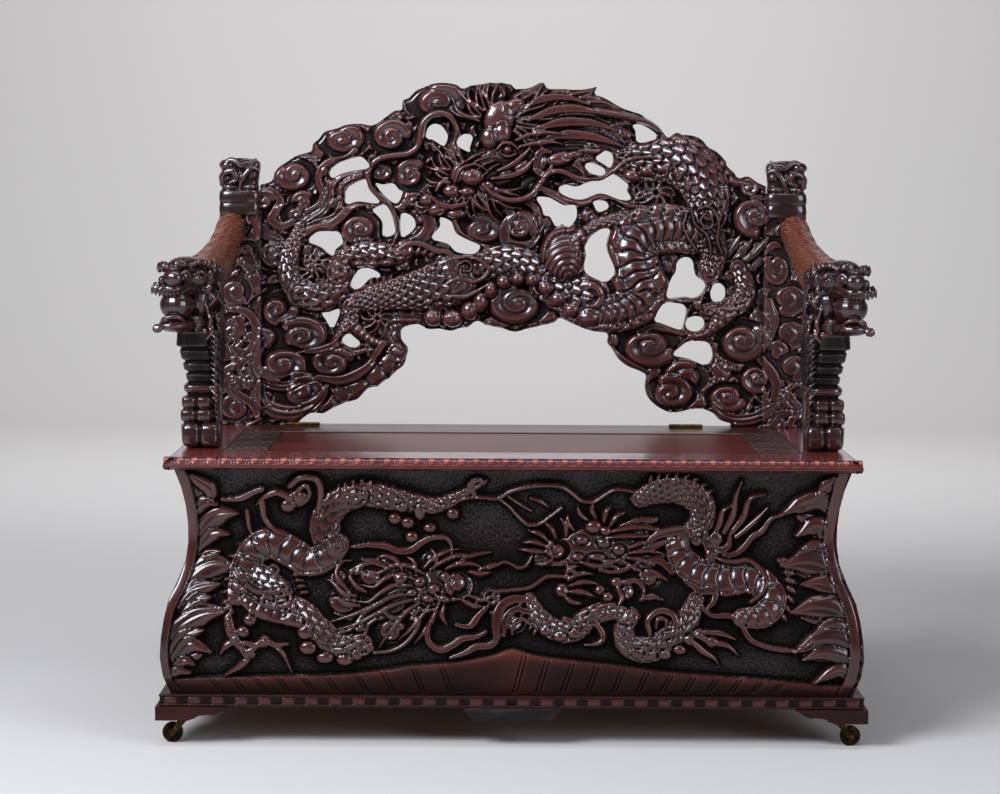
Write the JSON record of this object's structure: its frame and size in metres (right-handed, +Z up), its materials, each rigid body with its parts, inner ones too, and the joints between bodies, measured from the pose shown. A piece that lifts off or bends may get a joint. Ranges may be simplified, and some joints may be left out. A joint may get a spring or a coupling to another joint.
{
  "type": "hall bench",
  "caption": "Carved hardwood hall bench: bombe storage chest on casters, hinged seat lid, pierced carved back and carved animal arms.",
  "frame": {"origin": "on the floor, under the middle of the bench", "axes": "+X to the sitter's left-to-right as seen from the front, front towards -Y, +Z up"},
  "size_m": [1.249, 0.62, 1.1537],
  "materials": {
    "carved_hardwood": "stained and polished carving, dark in the hollows",
    "polished_panel": "glossy polished",
    "inside_wood": "plain, unpolished",
    "worn_bracket_wood": "worn, greyish",
    "aged_brass": "aged, dull",
    "caster_wheel": "worn brown"
  },
  "bodies": {
    "chest": {"plinth_front_rail": "carved_hardwood", "plinth_back_rail": "carved_hardwood", "plinth_left_rail": "carved_hardwood", "plinth_right_rail": "carved_hardwood", "bottom_board": "inside_wood", "chest_front_board": "carved_hardwood", "chest_back_board": "inside_wood", "chest_left_end": "carved_hardwood", "chest_right_end": "carved_hardwood", "foot_front_left": "carved_hardwood", "foot_front_right": "carved_hardwood", "foot_back_left": "carved_hardwood", "foot_back_right": "carved_hardwood", "centre_bracket": "worn_bracket_wood", "seat_end_left": "carved_hardwood", "seat_end_right": "carved_hardwood", "seat_back_rail": "carved_hardwood", "back_panel": "carved_hardwood", "back_post_left": "carved_hardwood", "back_post_right": "carved_hardwood", "arm_head_left": "carved_hardwood", "arm_head_right": "carved_hardwood", "arm_neck_left": "carved_hardwood", "arm_neck_right": "carved_hardwood", "arm_breast_left": "carved_hardwood", "arm_breast_right": "carved_hardwood", "mouth_ball_left": "carved_hardwood", "mouth_ball_right": "carved_hardwood", "hinge_left_fixed_leaf": "aged_brass", "hinge_right_fixed_leaf": "aged_brass", "hinge_left_pin": "aged_brass", "hinge_right_pin": "aged_brass", "caster_socket_front_left": "aged_brass", "caster_socket_front_right": "aged_brass", "caster_socket_back_left": "aged_brass", "caster_socket_back_right": "aged_brass"},
    "lid": {"lid_front_rail": "carved_hardwood", "lid_back_rail": "carved_hardwood", "lid_left_stile": "carved_hardwood", "lid_right_stile": "carved_hardwood", "lid_panel": "polished_panel", "lid_left_batten": "inside_wood", "lid_right_batten": "inside_wood", "hinge_left_moving_leaf": "aged_brass", "hinge_right_moving_leaf": "aged_brass"},
    "caster_front_left_swivel": {"caster_horn_front_left": "aged_brass", "caster_axle_front_left": "aged_brass"},
    "caster_front_left_wheel": {"caster_wheel_front_left": "caster_wheel"},
    "caster_front_right_swivel": {"caster_horn_front_right": "aged_brass", "caster_axle_front_right": "aged_brass"},
    "caster_front_right_wheel": {"caster_wheel_front_right": "caster_wheel"},
    "caster_back_left_swivel": {"caster_horn_back_left": "aged_brass", "caster_axle_back_left": "aged_brass"},
    "caster_back_left_wheel": {"caster_wheel_back_left": "caster_wheel"},
    "caster_back_right_swivel": {"caster_horn_back_right": "aged_brass", "caster_axle_back_right": "aged_brass"},
    "caster_back_right_wheel": {"caster_wheel_back_right": "caster_wheel"}
  },
  "joints": [
    {"name": "lid_hinge", "type": "hinge", "parent": "chest", "child": "lid", "pos_m": [0, 0.2631, 0.4992], "axis": [-1, 0, 0], "range_deg": [0, 84]},
    {"name": "caster_front_left_swivels", "type": "hinge", "parent": "chest", "child": "caster_front_left_swivel", "pos_m": [-0.566, -0.275, 0.04], "axis": [0, 0, 1], "continuous": true},
    {"name": "caster_front_left_rolls", "type": "hinge", "parent": "caster_front_left_swivel", "child": "caster_front_left_wheel", "pos_m": [-0.584, -0.275, 0.0178], "axis": [0, 1, 0], "continuous": true},
    {"name": "caster_front_right_swivels", "type": "hinge", "parent": "chest", "child": "caster_front_right_swivel", "pos_m": [0.566, -0.275, 0.04], "axis": [0, 0, 1], "continuous": true},
    {"name": "caster_front_right_rolls", "type": "hinge", "parent": "caster_front_right_swivel", "child": "caster_front_right_wheel", "pos_m": [0.584, -0.275, 0.0178], "axis": [0, 1, 0], "continuous": true},
    {"name": "caster_back_left_swivels", "type": "hinge", "parent": "chest", "child": "caster_back_left_swivel", "pos_m": [-0.566, 0.275, 0.04], "axis": [0, 0, 1], "continuous": true},
    {"name": "caster_back_left_rolls", "type": "hinge", "parent": "caster_back_left_swivel", "child": "caster_back_left_wheel", "pos_m": [-0.584, 0.275, 0.0178], "axis": [0, 1, 0], "continuous": true},
    {"name": "caster_back_right_swivels", "type": "hinge", "parent": "chest", "child": "caster_back_right_swivel", "pos_m": [0.566, 0.275, 0.04], "axis": [0, 0, 1], "continuous": true},
    {"name": "caster_back_right_rolls", "type": "hinge", "parent": "caster_back_right_swivel", "child": "caster_back_right_wheel", "pos_m": [0.584, 0.275, 0.0178], "axis": [0, 1, 0], "continuous": true}
  ]
}
